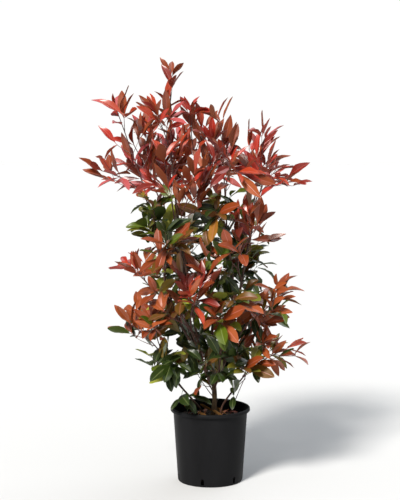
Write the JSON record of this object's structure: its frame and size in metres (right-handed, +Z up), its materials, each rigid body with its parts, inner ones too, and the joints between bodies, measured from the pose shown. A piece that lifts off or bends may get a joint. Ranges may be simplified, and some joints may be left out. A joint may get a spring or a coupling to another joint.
{
  "type": "potted shrub",
  "caption": "Upright bushy evergreen shrub with glossy red young leaves over green ones, growing in a round black plastic nursery pot.",
  "frame": {"origin": "centre of the pot's flat underside", "axes": "+Z up along the pot's axis, -Y towards the plant's best side, +X to the right as seen from there"},
  "size_m": [0.8147, 0.6074, 1.4879],
  "materials": {
    "pot_plastic": "matte near-black",
    "compost": "rough",
    "trunk_bark": "rough",
    "shoot_bark": "satin",
    "leaf_red": "glossy leaf",
    "leaf_copper": "glossy leaf",
    "leaf_green": "glossy leaf"
  },
  "bodies": {
    "root": {"bough_back_left": "shoot_bark", "bough_back_right": "shoot_bark", "bough_bottom_left": "shoot_bark", "bough_centre": "shoot_bark", "bough_front": "shoot_bark", "bough_front_left": "shoot_bark", "bough_green_right": "shoot_bark", "bough_high_back": "shoot_bark", "bough_high_front": "shoot_bark", "bough_leader": "shoot_bark", "bough_left_inner": "shoot_bark", "bough_left_mid": "shoot_bark", "bough_low_left": "shoot_bark", "bough_low_right": "shoot_bark", "bough_right": "shoot_bark", "bough_right_back_high": "shoot_bark", "bough_right_front": "shoot_bark", "bough_right_low": "shoot_bark", "bough_tall_left": "shoot_bark", "bough_upper_right": "shoot_bark", "compost": "compost", "foliage_back_low_left": "leaf_copper", "foliage_back_low_right": "leaf_copper", "foliage_back_mid_left": "leaf_green", "foliage_back_mid_right": "leaf_green", "foliage_bottom_back": "leaf_green", "foliage_bottom_front": "leaf_green", "foliage_bottom_left": "leaf_green", "foliage_bottom_right": "leaf_green", "foliage_centre_left": "leaf_copper", "foliage_centre_low": "leaf_copper", "foliage_centre_low_left": "leaf_green", "foliage_centre_red": "leaf_red", "foliage_centre_right": "leaf_green", "foliage_far_left": "leaf_red", "foliage_far_right": "leaf_red", "foliage_green_left": "leaf_green", "foliage_green_right": "leaf_green", "foliage_high_back_left": "leaf_red", "foliage_high_back_right": "leaf_red", "foliage_high_front": "leaf_red", "foliage_high_front_left": "leaf_red", "foliage_high_front_right": "leaf_red", "foliage_left_back": "leaf_red", "foliage_left_fan": "leaf_red", "foliage_left_mid": "leaf_red", "foliage_low_left": "leaf_copper", "foliage_low_left_inner": "leaf_copper", "foliage_low_right": "leaf_copper", "foliage_right_back": "leaf_red", "foliage_right_low": "leaf_copper", "foliage_right_mid": "leaf_red", "foliage_right_shoot": "leaf_red", "foliage_top": "leaf_red", "foliage_upper_left": "leaf_red", "foliage_upper_mid": "leaf_red", "foliage_upper_right": "leaf_red", "pot": "pot_plastic", "trunk": "trunk_bark"}
  },
  "joints": []
}
